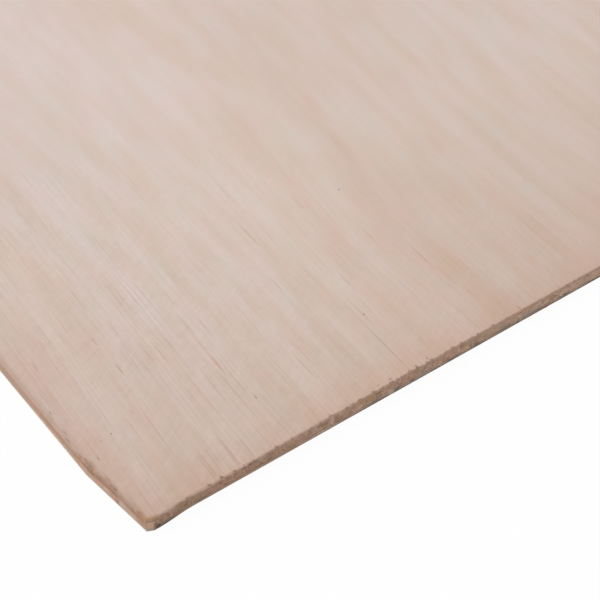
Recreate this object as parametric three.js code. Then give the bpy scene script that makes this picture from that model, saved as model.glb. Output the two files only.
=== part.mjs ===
// Plywood sheet: three hardwood veneers glued face to face, the thick middle one laid crosswise.
// Millimetres, +Z up. It lies flat on its back, X across the sheet, Y along it and along the face grain.
//
// The end at -Y is sawn across the face grain, and the saw tore small chips out of the face veneer and
// long fibres out of the core. At the corner of -X and -Y the cut along the grain ran off its line,
// and slivers of the face veneer split away there.

import * as THREE from 'three';

// Stock size.
const sheetWidth = 610;
const sheetLength = 1220;
const faceThickness = 1.2;
const coreThickness = 3.1;
const backThickness = 1.2;

// Torn veneer parts along the grain, which leans this far to +X for each millimetre towards +Y.
const grainLean = 0.07;

// The stray cut: how long it is, and how far in from the true edge it has come at the end.
const strayRun = 29;
const strayIn = 3.1;
// The end flares out beside that corner, from nothing at its root to the most at its peak.
const flareOut = 0.87;
const flareRoot = 19;
const flarePeak = 6.5;
const flareSteps = 8;
// The tip between the two is knocked off.
const tipBreakUp = 1;
const tipBreakAlong = 2.05;

// Slivers split from the face veneer along the stray cut, placed by their distance up from the end.
const slivers = [
  { at: 0.6, width: 6.2, depth: 0.9 },
  { at: 12.9, width: 9.8, depth: 1.2 },
  { at: 24.2, width: 11.6, depth: 1.5 },
];

// The larger chips torn from the face veneer, placed by their distance along the end from the corner.
const largeChips = [
  { at: 24.6, width: 1, depth: 0.55 },
  { at: 28.9, width: 1.6, depth: 0.75 },
  { at: 33.6, width: 1, depth: 0.4 },
  { at: 37.2, width: 0.7, depth: 0.5 },
  { at: 38.8, width: 0.7, depth: 0.5 },
  { at: 40.6, width: 0.9, depth: 0.5 },
  { at: 48.8, width: 1.6, depth: 0.5 },
  { at: 65.6, width: 1.1, depth: 0.3 },
  { at: 69.7, width: 2, depth: 0.55 },
  { at: 80.6, width: 1.6, depth: 0.35 },
  { at: 86.2, width: 1.2, depth: 0.35 },
  { at: 93.5, width: 0.8, depth: 0.85 },
  { at: 96.2, width: 1.1, depth: 0.35 },
  { at: 101, width: 2.4, depth: 0.5 },
  { at: 104.7, width: 0.7, depth: 0.85 },
  { at: 108.5, width: 1.1, depth: 0.35 },
  { at: 119.6, width: 1.3, depth: 0.35 },
];
// The small chips between and beyond them.
const chipPitch = 7.5;
const chipWidth = 1.4;
const chipDepth = 0.3;

// Shallow hollows along the core's middle, where the saw pulled long fibres out of it.
const hollowPitch = 12.5;
const hollowLength = 9;
const hollowDepth = 0.35;

// A bite out of an edge, as shares of its width and depth: steep where the fibres broke, then tapering.
const biteShape = [[0, 0], [0.14, 0.8], [0.36, 1], [0.64, 0.55], [1, 0]];

const halfWidth = sheetWidth / 2;
const halfLength = sheetLength / 2;
const endLine = flareOut - halfLength;

// A repeatable value from 0 to 1 for the count-th bite, a different one for each use.
function scatter(count, use) {
  const value = Math.sin(count * 127.1 + use * 311.7) * 43758.5453;
  return value - Math.floor(value);
}

// Bites repeated along the whole end at a pitch, each with its own place, width and depth.
function scatterBites(pitch, width, depth, use) {
  const bites = [];
  for (let count = 1; (count + 1) * pitch < sheetWidth; count += 1) {
    bites.push({
      at: pitch * (count + 0.3 * scatter(count, use)),
      width: width * (0.4 + 0.6 * scatter(count, use + 1)),
      depth: depth * (0.3 + 0.7 * scatter(count, use + 2)),
    });
  }
  return bites;
}

// The bites in order along the edge, less any that would start inside the one before it.
function inOrder(bites) {
  const sorted = [...bites].sort((one, other) => one.at - other.at);
  const kept = [];
  let clearFrom = 0;
  for (const bite of sorted) {
    if (bite.at > clearFrom) {
      kept.push(bite);
      clearFrom = bite.at + bite.width;
    }
  }
  return kept;
}

// Depth of an edge's bites at each of their corners, as steps of place and depth along the edge.
function biteSteps(bites) {
  return bites.flatMap((bite) => biteShape.map(([across, down]) => ({
    place: bite.at + across * bite.width,
    depth: down * bite.depth,
  })));
}

// The depth that the steps give at any place between them.
function depthAt(steps, place) {
  const next = steps.findIndex((step) => step.place > place);
  if (next < 1) {
    return 0;
  }
  const before = steps[next - 1];
  const share = (place - before.place) / (steps[next].place - before.place);
  return THREE.MathUtils.lerp(before.depth, steps[next].depth, share);
}

// The edge along the grain near the corner, at a height above the end's line, bitten to a depth.
function strayPoint(height, depth) {
  const inward = strayIn * Math.max(0, 1 - height / strayRun);
  return new THREE.Vector2(inward + depth - halfWidth, endLine + height);
}

// The sawn end at a distance from the sheet's long side, bitten to a depth along the grain.
function endPoint(along, depth) {
  const flare = flareOut * THREE.MathUtils.smoothstep(flareRoot - along, 0, flareRoot - flarePeak);
  return new THREE.Vector2(along + grainLean * depth - halfWidth, endLine - flare + depth);
}

// A ply's outline, anticlockwise from its far corner over the stray cut: bites are those of the cut
// along the grain and of the end, and share is how much of the end's depth this outline takes.
function plyOutline(strayBites, endBites, share) {
  const strayLow = tipBreakUp - flareOut;
  const endStart = strayIn + tipBreakAlong;
  const straySteps = biteSteps(strayBites);
  const endSteps = biteSteps(endBites);
  const heights = [strayLow, strayRun, ...straySteps.map((step) => step.place)];
  const alongs = [endStart, ...endSteps.map((step) => step.place).filter((place) => place > endStart)];
  for (let count = 0; count <= flareSteps; count += 1) {
    alongs.push(THREE.MathUtils.lerp(flarePeak, flareRoot, count / flareSteps));
  }
  heights.sort((one, other) => other - one);
  alongs.sort((one, other) => one - other);
  return [
    new THREE.Vector2(-halfWidth, halfLength),
    ...heights.map((height) => strayPoint(height, depthAt(straySteps, height))),
    ...alongs.map((along) => endPoint(along, share * depthAt(endSteps, along))),
    new THREE.Vector2(halfWidth, endLine),
    new THREE.Vector2(halfWidth, halfLength),
  ];
}

// A closed solid through outlines of equal length, one for each height from the bottom up.
function loftPly(rows) {
  const count = rows[0].outline.length;
  const vertices = rows.flatMap(({ outline, z }) => outline.flatMap((point) => [point.x, point.y, z]));
  const faces = [];
  for (let row = 0; row < rows.length - 1; row += 1) {
    for (let here = 0; here < count; here += 1) {
      const next = (here + 1) % count;
      const low = row * count;
      const high = low + count;
      faces.push(low + here, low + next, high + next);
      faces.push(low + here, high + next, high + here);
    }
  }
  const top = (rows.length - 1) * count;
  for (const [a, b, c] of THREE.ShapeUtils.triangulateShape(rows[0].outline, [])) {
    faces.push(a, c, b);
  }
  for (const [a, b, c] of THREE.ShapeUtils.triangulateShape(rows[rows.length - 1].outline, [])) {
    faces.push(top + a, top + b, top + c);
  }
  const geometry = new THREE.BufferGeometry();
  geometry.setAttribute('position', new THREE.Float32BufferAttribute(vertices, 3));
  geometry.setIndex(faces);
  geometry.computeVertexNormals();
  return geometry;
}

function ply(name, rows, color, roughness) {
  const mesh = new THREE.Mesh(
    loftPly(rows),
    new THREE.MeshStandardMaterial({ color, roughness, metalness: 0 }),
  );
  mesh.name = name;
  return mesh;
}

const coreBottom = backThickness;
const faceBottom = coreBottom + coreThickness;
const sheetTop = faceBottom + faceThickness;

function backVeneer() {
  const outline = plyOutline([], [], 0);
  return ply('back_veneer', [{ outline, z: 0 }, { outline, z: coreBottom }], '#8a7566', 0.85);
}

// The hollows are deepest at mid height and fade out towards the glue lines.
function coreVeneer() {
  const hollows = inOrder(scatterBites(hollowPitch, hollowLength, hollowDepth, 4));
  const rows = [0, 0.3, 0.7, 1].map((level) => ({
    outline: plyOutline([], hollows, 4 * level * (1 - level)),
    z: THREE.MathUtils.lerp(coreBottom, faceBottom, level),
  }));
  return ply('core_veneer', rows, '#9a7a66', 0.9);
}

function faceVeneer() {
  const chips = inOrder([...largeChips, ...scatterBites(chipPitch, chipWidth, chipDepth, 1)]);
  const outline = plyOutline(inOrder(slivers), chips, 1);
  return ply('face_veneer', [{ outline, z: faceBottom }, { outline, z: sheetTop }], '#cdb3a6', 0.7);
}

const group = new THREE.Group();
group.add(backVeneer(), coreVeneer(), faceVeneer());

export default group;
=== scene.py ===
import math
import bpy
import numpy as np
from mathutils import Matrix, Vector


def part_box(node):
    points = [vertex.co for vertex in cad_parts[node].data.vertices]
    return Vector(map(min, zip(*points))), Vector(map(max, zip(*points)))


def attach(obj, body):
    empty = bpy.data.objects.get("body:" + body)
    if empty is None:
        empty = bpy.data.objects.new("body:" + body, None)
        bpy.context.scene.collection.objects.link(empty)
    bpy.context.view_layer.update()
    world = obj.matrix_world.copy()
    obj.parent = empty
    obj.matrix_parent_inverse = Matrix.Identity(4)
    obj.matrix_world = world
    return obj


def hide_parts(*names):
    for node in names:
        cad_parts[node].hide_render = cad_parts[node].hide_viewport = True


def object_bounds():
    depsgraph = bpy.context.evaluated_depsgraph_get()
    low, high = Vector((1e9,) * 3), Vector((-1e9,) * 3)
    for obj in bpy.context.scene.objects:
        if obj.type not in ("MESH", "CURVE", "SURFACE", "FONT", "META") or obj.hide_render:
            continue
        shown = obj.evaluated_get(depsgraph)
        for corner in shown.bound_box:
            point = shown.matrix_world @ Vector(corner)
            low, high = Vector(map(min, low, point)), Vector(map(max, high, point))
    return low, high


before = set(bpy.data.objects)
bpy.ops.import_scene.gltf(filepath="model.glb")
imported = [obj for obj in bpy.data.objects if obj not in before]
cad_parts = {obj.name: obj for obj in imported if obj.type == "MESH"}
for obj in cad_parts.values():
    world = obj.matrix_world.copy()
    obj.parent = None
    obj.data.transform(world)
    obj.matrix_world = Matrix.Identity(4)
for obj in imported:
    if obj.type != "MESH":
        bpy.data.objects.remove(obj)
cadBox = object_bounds()
mm = 0.001
print("frame loaded:", ", ".join(sorted(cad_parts)))

# the sheet's own sizes, in millimetres
lowCorner, highCorner = cadBox[0] / mm, cadBox[1] / mm
sheet = dict(
    left=lowCorner.x, right=highCorner.x, near=lowCorner.y, far=highCorner.y,
    coreBottom=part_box("core_veneer")[0][2] / mm, coreTop=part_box("core_veneer")[1][2] / mm,
    top=highCorner.z,
)
# the corner that was cut off its line: the stray cut, the flared end beside it and the broken tip
corner = dict(
    strayRun=29.0, strayIn=3.1, flareOut=0.87, flareRoot=19.0, flarePeak=6.5,
    tipUp=1.0, tipAlong=2.05,
)
sawnLine = sheet["near"] + corner["flareOut"]
# a bite out of an edge, as shares of its width and depth
biteShape = np.array([[0, 0], [0.14, 0.8], [0.36, 1], [0.64, 0.55], [1, 0]])


# sRGB hex text to linear colour: c / 12.92 below 0.04045, else ((c + 0.055) / 1.055) ^ 2.4.
def linearColour(hexText):
    values = [int(hexText[i:i + 2], 16) / 255 for i in (1, 3, 5)]
    return [v / 12.92 if v <= 0.04045 else ((v + 0.055) / 1.055) ** 2.4 for v in values] + [1.0]


# A repeatable value from 0 to 1: the fraction of sin(127.1 count + 311.7 use) * 43758.5453.
def scatter(count, use):
    value = np.sin(count * 127.1 + use * 311.7) * 43758.5453
    return value - np.floor(value)


# A fixed random value from 0 to 1 on each whole-numbered lattice point, by mixing the bits of x and y.
def latticeValue(x, y, seed):
    mixed = (x.astype(np.int64) * 374761393 + y.astype(np.int64) * 668265263 + seed * 974634777) & 0xFFFFFFFF
    mixed = ((mixed ^ (mixed >> 13)) * 1274126177) & 0xFFFFFFFF
    return ((mixed ^ (mixed >> 16)) & 0xFFFFFF) / float(0xFFFFFF)


# Smooth noise from 0 to 1: lattice values blended by t*t*(3 - 2t) in both directions.
def smoothNoise(x, y, seed):
    x, y = np.broadcast_arrays(x, y)
    left, low = np.floor(x), np.floor(y)
    tx, ty = x - left, y - low
    tx, ty = tx * tx * (3 - 2 * tx), ty * ty * (3 - 2 * ty)
    lowSide = latticeValue(left, low, seed) * (1 - tx) + latticeValue(left + 1, low, seed) * tx
    highSide = latticeValue(left, low + 1, seed) * (1 - tx) + latticeValue(left + 1, low + 1, seed) * tx
    return lowSide * (1 - ty) + highSide * ty


# Rough noise from 0 to 1: smooth noise summed over octaves, each twice as fine and half as strong.
def roughNoise(x, y, seed, octaves=3):
    total = sum(smoothNoise(x * 2 ** n, y * 2 ** n, seed + 7 * n) / 2 ** n for n in range(octaves))
    return total / (2 - 2 / 2 ** octaves)


# From 0 at the first edge to 1 at the second by t*t*(3 - 2t), held outside; the edges may run downwards.
def smoothStep(value, edge0, edge1):
    t = np.clip((value - edge0) / (edge1 - edge0), 0, 1)
    return t * t * (3 - 2 * t)


# the outline that all three plies share, in millimetres
spacing = dict(
    fine=0.2, coarse=2.6, grow=70.0, endRun=190.0, sideRun=75.0, tipPoints=10, inwardReach=4.0,
    samples=40001,
)


# Places from 0 to a length: fine apart over the first run, growing to coarse apart beyond it.
def spreadPlaces(length, run):
    s = np.linspace(0, length, spacing["samples"])
    gap = spacing["fine"] + (spacing["coarse"] - spacing["fine"]) * np.clip((s - run) / spacing["grow"], 0, 1)
    steps = np.concatenate([[0], np.cumsum(np.diff(s) / gap[1:])])
    return np.interp(np.linspace(0, steps[-1], int(np.ceil(steps[-1])) + 1), steps, s)


# How far the flared end stands out at each place along it: flareOut * smooth step from root to peak.
def flareAt(along):
    return corner["flareOut"] * smoothStep(along, corner["flareRoot"], corner["flarePeak"])


# Where the left side runs at each place up from the corner: strayIn * (1 - up / strayRun) inside its line.
def sideAt(up):
    return sheet["left"] + corner["strayIn"] * np.maximum(0, 1 - up / corner["strayRun"])


# The outline, anticlockwise: x and y, the inward direction, and the place along each of its two worked sides.
# Inward is the left normal of the chord between the points inwardReach before and after each point.
def sheetPath():
    tipLow = corner["tipUp"] - corner["flareOut"]
    up = tipLow + spreadPlaces(sheet["far"] - sawnLine - tipLow, spacing["sideRun"])[::-1]
    leftSide = np.stack([sideAt(up), sawnLine + up], 1)
    endStart = corner["strayIn"] + corner["tipAlong"]
    along = endStart + spreadPlaces(sheet["right"] - sheet["left"] - endStart, spacing["endRun"])
    endSide = np.stack([sheet["left"] + along, sawnLine - flareAt(along)], 1)
    t = np.linspace(0, 1, spacing["tipPoints"] + 2)[1:-1, None]
    tipSide = leftSide[-1] * (1 - t) + endSide[0] * t
    rightY = np.arange(sawnLine, sheet["far"], spacing["coarse"])[1:]
    rightSide = np.stack([np.full_like(rightY, sheet["right"]), rightY], 1)
    farX = np.arange(sheet["right"], sheet["left"], -spacing["coarse"])
    farSide = np.stack([farX, np.full_like(farX, sheet["far"])], 1)
    points = np.concatenate([leftSide, tipSide, endSide, rightSide, farSide])
    closed = np.concatenate([points, points[:1]])
    distance = np.concatenate([[0], np.cumsum(np.hypot(*np.diff(closed, axis=0).T))])
    here, whole = distance[:-1], distance[-1]
    ahead, behind = [
        np.stack([np.interp((here + shift) % whole, distance, closed[:, k]) for k in (0, 1)], 1)
        for shift in (spacing["inwardReach"], -spacing["inwardReach"])
    ]
    chord = (ahead - behind) / np.hypot(*(ahead - behind).T)[:, None]
    farOff = -1e6  # stands for the place of a point that isn't on that side
    firstEnd = len(leftSide) + len(tipSide)
    upPlace, endPlace = np.full(len(points), farOff), np.full(len(points), farOff)
    upPlace[:len(up)] = up
    endPlace[firstEnd:firstEnd + len(along)] = along
    return dict(
        x=points[:, 0], y=points[:, 1], inX=-chord[:, 1], inY=chord[:, 0], distance=here,
        up=upPlace, end=endPlace, onSide=upPlace > farOff, acrossFaceGrain=chord[:, 0] ** 2,
        fromTip=np.abs(here - (here[len(leftSide)] + here[firstEnd - 1]) / 2),
    )


path = sheetPath()
print("outline:", len(path["x"]), "points")


# Bite depth along an edge: each bite is biteShape scaled by its width and depth, joined by straight lines.
def biteDepth(place, bites):
    corners = np.array(bites)
    steps = corners[:, :1] + corners[:, 1:2] * biteShape[:, 0]
    depths = corners[:, 2:3] * biteShape[:, 1]
    return np.interp(place, steps.ravel(), depths.ravel(), left=0, right=0)


# A value by place, in straight lines between the places of a table, and 0 before its first.
def byPlace(place, table, before=0):
    return np.interp(place, *np.array(table).T, left=before)


# Bites repeated at a pitch along the sawn end, as the solid has them: place, width, depth.
def scatterBites(pitch, width, depth, use):
    count = np.arange(1, int((sheet["right"] - sheet["left"]) / pitch - 1e-9))
    return np.stack([
        pitch * (count + 0.3 * scatter(count, use)),
        width * (0.4 + 0.6 * scatter(count, use + 1)),
        depth * (0.3 + 0.7 * scatter(count, use + 2)),
    ], 1)


# The bites in order, less any that starts inside the one before it.
def inOrder(bites):
    kept = []
    for bite in sorted(map(tuple, bites)):
        if not kept or bite[0] > kept[-1][0] + kept[-1][1]:
            kept.append(bite)
    return kept


# A new object in the scene, which shows a mesh, lamp or camera.
def addObject(name, data):
    added = bpy.data.objects.new(name, data)
    bpy.context.scene.collection.objects.link(added)
    return added


# The node tree of a material or world, emptied.
def emptyTree(owner):
    owner.use_nodes = True
    owner.node_tree.nodes.clear()
    return owner.node_tree


# Depths of the flat rows beside a cut: at each inset, edge + inset * (1 - edge / the widest inset).
def rowsInward(edge, insets):
    return edge + insets * (1 - edge / insets[0])


# Puts points, faces and values for each point into a new smooth mesh and its object.
def newPiece(name, points, faces, values):
    mesh = bpy.data.meshes.new(name)
    mesh.from_pydata(points * mm, [], faces)
    mesh.polygons.foreach_set("use_smooth", np.ones(len(mesh.polygons), dtype=bool))
    for key, value in values.items():
        layer = mesh.attributes.new(key, "FLOAT", "POINT")
        layer.data.foreach_set("value", np.asarray(value, dtype=np.float32).ravel())
    mesh.update()
    return addObject(name, mesh)


# A closed shell from rows of points, each row running once round the outline at a depth and a height.
# Point (row, column) = outline + inward * depth, height; the first and last rows are closed by flat caps.
def shellMesh(name, depth, height, values):
    points = np.stack([path["x"] + path["inX"] * depth, path["y"] + path["inY"] * depth, height], -1)
    index = np.arange(depth.size).reshape(depth.shape)
    right = np.roll(index, -1, axis=1)
    quads = np.stack([index[:-1], index[1:], right[1:], right[:-1]], -1).reshape(-1, 4)
    caps = [index[0].tolist(), index[-1][::-1].tolist()]
    spread = {key: np.broadcast_to(value, depth.shape) for key, value in values.items()}
    return newPiece(name, points.reshape(-1, 3), quads.tolist() + caps, spread)


mixFactor, mixA, mixB, mixColour = 0, 6, 7, 2  # the colour sockets of a Mix node


# Adds a node and gives back one of its outputs; inputs holds a value or another output for each socket.
def addNode(tree, kind, inputs, output=0, **settings):
    node = tree.nodes.new("ShaderNode" + kind)
    for name, value in settings.items():
        setattr(node, name, value)
    for name, value in inputs.items():
        if isinstance(value, bpy.types.NodeSocket):
            tree.links.new(value, node.inputs[name])
        else:
            node.inputs[name].default_value = value
    return node.outputs[output] if node.outputs else None


# An empty material and the place in it, in millimetres from where the two edges' straight lines would meet.
def startMaterial(name):
    material = bpy.data.materials.new(name)
    tree = emptyTree(material)
    place = addNode(tree, "Mapping", {
        "Vector": addNode(tree, "TexCoord", {}, "Object"),
        "Scale": (1 / mm, 1 / mm, 1 / mm), "Location": (-sheet["left"], -sawnLine, 0),
    })
    return material, tree, place


# Noise patterns from a table: the size of a grain along X, Y and Z in mm, its detail, the two levels of the
# noise that are stretched apart, and the two values that they become. Each is shifted to differ.
def addPatterns(tree, place, table):
    made = {}
    for count, (name, (size, detail, low, high, least, most)) in enumerate(table.items()):
        shift = 7.3 * (count + 1)
        scaled = addNode(tree, "Mapping", {
            "Vector": place, "Scale": [1 / length for length in size],
            "Location": (shift, 1.7 * shift, 0.6 * shift),
        })
        noise = addNode(tree, "TexNoise", {
            "Vector": scaled, "Scale": 1.0, "Detail": detail, "Roughness": 0.6,
        })
        made[name] = addNode(tree, "MapRange", {
            "Value": noise, "From Min": low, "From Max": high, "To Min": least, "To Max": most,
        }, interpolation_type="SMOOTHSTEP")
    return made


# Lays tones over a colour. Each covers it by a share: a value of the mesh, a pattern, or one times the other.
def layTones(tree, colour, patterns, layers):
    for value, pattern, tone in layers:
        share = patterns.get(pattern)
        if value:
            share = addNode(tree, "Math", {
                0: addNode(tree, "Attribute", {}, "Fac", attribute_name=value), 1: share or 1.0,
            }, operation="MULTIPLY")
        colour = addNode(tree, "Mix", {
            mixFactor: share, mixA: colour, mixB: linearColour(tone),
        }, mixColour, data_type="RGBA")
    return colour


# Ends a material with a dull shader, whose surface is moved by a height times the relief in millimetres.
def finishMaterial(tree, colour, height, finish):
    bump = addNode(tree, "Bump", {
        "Height": height, "Strength": finish["bump"], "Distance": finish["relief"] * mm,
    })
    surface = addNode(tree, "BsdfPrincipled", {
        "Base Color": colour, "Normal": bump, "Roughness": finish["roughness"], "IOR": finish["ior"],
    })
    addNode(tree, "OutputMaterial", {"Surface": surface})


# A plain wood: its patterns and the edges' values laid over a base tone.
def plainWood(name, finish):
    material, tree, place = startMaterial(name)
    made = addPatterns(tree, place, finish["flat"])
    colour = layTones(tree, linearColour(finish["base"]), made, finish["layers"])
    finishMaterial(tree, colour, made[finish["raised"]], finish)
    return material


# Fills a colour ramp with tones, each at its place along a length in millimetres; the first is at 0.
def fillRamp(ramp, tones, length):
    ramp.elements.remove(ramp.elements[1])
    ramp.elements[0].color = linearColour(tones[0][1])
    for at, tone in tones[1:]:
        ramp.elements.new(at / length).color = linearColour(tone)


# tones of the blotches on the edges, which run on from ply to ply
spotTones = dict(
    rosy="#C68F7A", olive="#A2896A", brown="#8E6C57", tan="#C0926C", dark="#5D4F4A", pale="#D9BAA4",
    grey="#A99D94",
)
# blotches of the sawn end: place along it, height, half run, half height in mm, and share; some brown and
# dark ones are painted shade
endSpots = dict(
    rosy=(
        (28.7, 2, 2.4, 1.4, 0.4), (34.7, 3, 6, 2.2, 0.25), (50.7, 3.4, 1.6, 1.5, 0.3),
        (58.2, 3, 2, 2.4, 0.35), (80.7, 0.6, 2, 0.6, 0.45), (101.1, 3.6, 2, 2.2, 0.6),
        (118.7, 3.4, 4.5, 2.4, 0.35), (145.7, 2.9, 3, 2, 0.2),
    ),
    olive=(
        (9.7, 0.6, 3, 0.8, 0.5), (15.3, 2.7, 2.6, 2.2, 0.75), (20.2, 3.1, 2.8, 1.8, 0.75),
        (45.2, 1.8, 3.5, 1.8, 0.4), (55.3, 1.2, 1.4, 1.4, 0.65), (75.2, 1, 3, 0.9, 0.5),
        (85.7, 3.4, 6, 2.2, 0.3), (107.2, 2.9, 4, 2.5, 0.35), (125.2, 4, 2.2, 1.2, 0.55),
        (133.7, 3, 7, 2.4, 0.4), (142.7, 2, 2.5, 1.6, 0.45), (153.7, 2.2, 4, 1.4, 0.4),
        (164.2, 4, 2.5, 1.6, 0.5),
    ),
    # the brown blotches at 5.4 mm and from 37.4 to 41.5 mm are painted shade: under the upper ply at the
    # broken tip, and in notches of the lip
    brown=(
        (5.4, 4.4, 1.1, 1, 0.8), (8.7, 4.7, 2, 0.7, 0.4), (31.2, 3.8, 2, 1.2, 0.35),
        (34.7, 3.8, 1, 0.8, 0.4), (37.4, 4.1, 0.7, 0.7, 1), (39.5, 4, 0.65, 0.7, 1),
        (41.5, 4.1, 0.8, 0.8, 0.8), (46.7, 3.8, 1.2, 1, 0.4), (51.7, 3.7, 0.8, 1, 0.4),
        (62.1, 3.6, 0.6, 1.2, 0.5), (61.7, 1.6, 1.1, 1.4, 0.45), (68, 3, 1.6, 1.6, 0.55),
        (72.5, 3, 0.9, 1.2, 0.6), (77.7, 3, 0.9, 1.2, 0.4), (84.1, 3.6, 0.6, 1, 0.5),
        (89.5, 3.5, 1.1, 0.7, 0.85), (87.2, 1.6, 0.8, 0.8, 0.4), (96.7, 3, 1.2, 1.2, 0.35),
        (104.5, 4.4, 0.8, 1, 0.4), (111.7, 3.9, 1, 1, 0.35), (123.5, 3.8, 0.7, 1.4, 0.75),
        (130.2, 2.4, 0.6, 1.4, 0.4), (141.7, 4.4, 1.2, 0.8, 0.35), (155.7, 4.2, 1.4, 0.8, 0.3),
        (160.2, 3.6, 0.8, 1.4, 0.35), (162.2, 0.7, 1.6, 0.6, 0.6), (168.5, 3.6, 0.8, 1.2, 0.6),
    ),
    tan=(
        (5.1, 4.3, 0.9, 1.1, 0.4), (39, 4, 0.35, 0.6, 0.6), (81.2, 3.9, 2.4, 1.2, 0.5),
        (85.7, 3.7, 1.6, 1.6, 0.6), (91.2, 3.3, 1, 0.6, 0.5), (125.2, 2, 1.2, 1.4, 0.4),
        (129.9, 5.2, 0.9, 0.7, 0.6), (137.5, 5.3, 0.4, 0.6, 0.6), (150.3, 5.3, 1.2, 0.7, 0.8),
        (152.5, 4.6, 1.8, 0.8, 0.55), (152.7, 3.6, 2.5, 1, 0.3), (164.7, 4.7, 2.5, 0.7, 0.4),
    ),
    # the dark blotches are painted shade with some grime along the foot of the end, a painted shadow of an
    # undercut beside the broken tip, and painted shade in notches of the lip at 38 and 40 mm
    dark=(
        (6.5, 1.05, 1.3, 1.03, 1), (9.2, 0.85, 3, 0.8, 0.5), (22.7, 0.75, 2, 0.57, 0.3),
        (87.7, 0.87, 5, 0.57, 0.5), (85.1, 1.27, 1.6, 0.69, 0.46), (96.5, 1.07, 1.7, 0.8, 0.86),
        (103, 1.07, 1, 0.92, 0.8), (120.7, 0.97, 3.5, 0.57, 0.42), (130.7, 0.97, 2.4, 0.69, 0.92),
        (142.7, 0.97, 3.5, 0.69, 0.57), (149.4, 0.97, 1.4, 0.8, 0.75), (157.7, 0.97, 4.5, 0.57, 0.69),
        (170.7, 1.07, 2.6, 0.8, 0.75), (38.1, 4, 0.4, 0.35, 0.5), (40, 4, 0.45, 0.55, 0.75),
    ),
    pale=(
        (163, 2.4, 5, 1.3, 0.3), (66, 1.4, 6, 0.9, 0.5), (104, 2, 10, 1.2, 0.2), (129, 1.6, 8, 1, 0.2),
        (168, 2.3, 7, 1.1, 0.55), (45, 0.3, 10, 0.4, 0.4), (14, 0.1, 6, 0.3, 0.4), (30.2, 4, 0.5, 1, 0.4),
        (44.2, 2.8, 0.6, 1.4, 0.35), (67, 0.8, 1.7, 0.7, 0.6), (70.5, 4.7, 0.7, 0.9, 0.6),
        (70.7, 2.2, 0.7, 1.2, 0.75), (73.9, 4, 0.4, 1, 0.4), (81.6, 1.9, 2, 1.1, 0.6),
        (85.3, 1.6, 1.2, 0.8, 0.45), (91.1, 1.8, 0.7, 1, 0.5), (94.1, 1.2, 1.1, 1.5, 0.85),
        (101.9, 3.8, 0.4, 1.4, 0.35), (109.7, 1.8, 0.8, 1.4, 0.4), (115, 1.4, 1.2, 1.2, 0.45),
        (122.7, 2.8, 0.5, 1.2, 0.7), (127, 2, 1, 0.9, 0.7), (150.5, 1.6, 0.7, 1.2, 0.65),
        (166.5, 2.6, 0.9, 1.8, 0.6),
    ),
    grey=(
        (97, 1.6, 5, 1, 0.4), (91.7, 1.3, 6, 0.8, 0.35), (108.2, 1.4, 3, 1.4, 0.5),
        (143.7, 2, 3, 1.4, 0.35), (154.2, 1.6, 4, 1.2, 0.5),
    ),
)
# blotches of the left side, by place up from the corner
sideSpots = dict(
    rosy=(
        (15.2, 1.4, 0.7, 1.3, 1), (19, 2.1, 2.4, 1, 0.5), (23.5, 2.1, 4, 1.2, 0.75),
        (29, 2.2, 2.5, 1.4, 0.5), (45.5, 3.2, 4.5, 1.6, 0.45), (58.5, 2.6, 3, 1.5, 0.42),
    ),
    olive=(
        (6.5, 4.4, 2, 1.2, 0.35), (6.5, 1.9, 4.5, 1.2, 0.3), (21.5, 4.8, 3, 1, 0.35),
        (39, 4.4, 3, 1.8, 0.5), (51.5, 3.4, 3, 1.4, 0.35), (55, 4.9, 1.6, 0.9, 0.4),
    ),
    brown=(
        (2.6, 3.4, 2.4, 2.8, 0.7), (17, 4.9, 10, 0.5, 0.35), (3.6, 5.3, 1, 0.7, 0.75),
        (0.7, 5.3, 0.8, 0.7, 0.65), (48, 3, 8, 1, 0.3), (57.5, 2.6, 4, 1.2, 0.3), (2.1, 5.3, 1.2, 0.7, 0.6),
        (6.3, 3.8, 0.7, 0.8, 0.6), (13.6, 1.3, 0.75, 1.1, 0.9), (15.3, 4, 1.4, 1.3, 0.5),
        (11.5, 4.9, 2.5, 0.7, 0.3), (22, 4.7, 3.2, 1.5, 0.5), (26, 3.8, 2, 1.1, 0.7),
        (35.3, 3.6, 1.6, 1.1, 0.4), (43, 3.4, 2, 1.2, 0.35), (52, 2.8, 2, 1.2, 0.3),
    ),
    tan=((2.5, 4.6, 2.6, 1.2, 0.4), (2.1, 2, 2, 1.6, 0.4), (32, 3.4, 2.5, 1.8, 0.4)),
    dark=((6.1, 3.7, 0.4, 0.4, 0.25),),
    pale=(
        (7, 1.2, 3.5, 1.2, 0.45), (26, 1, 2, 0.8, 0.4), (46, 0.5, 12, 0.9, 0.55), (58, 0.4, 6, 0.9, 0.7),
        (11.3, 2, 1.9, 1.6, 0.5), (19, 2, 2.2, 0.8, 0.5), (30.3, 1.4, 2.4, 0.9, 0.4),
    ),
    grey=(
        (8.5, 0.5, 1.4, 0.9, 0.5), (11.3, 1.4, 1.8, 1.4, 0.25), (21, 0.3, 2, 0.6, 0.4),
        (27.7, 0.3, 1.8, 0.8, 0.6),
    ),
)
spotLayers = tuple((kind, None, tone) for kind, tone in spotTones.items())


# Shares of each kind of blotch at each height of the outline: the strongest of share * e^-(dx^2 + dz^2),
# with the distances in half runs and half heights, each shifted by noise so that the rims are broken.
def spotValues(height):
    wobble = 1.1 * roughNoise(path["distance"] / 0.9, height / 0.7, 61) - 0.55
    lift = 1.1 * roughNoise(path["distance"] / 1.1, height / 0.8, 62) - 0.55
    values = {}
    for kind in spotTones:
        share = np.zeros(height.shape)
        for place, table, across in (
            (path["end"], endSpots, path["acrossFaceGrain"]),
            (path["up"], sideSpots, 1 - path["acrossFaceGrain"]),
        ):
            for at, level, run, rise, most in table[kind]:
                apart = ((place - at) / run + wobble) ** 2 + ((height - level) / rise + lift) ** 2
                share = np.maximum(share, most * np.exp(-apart) * across)
        values[kind] = share
    return values


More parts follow.
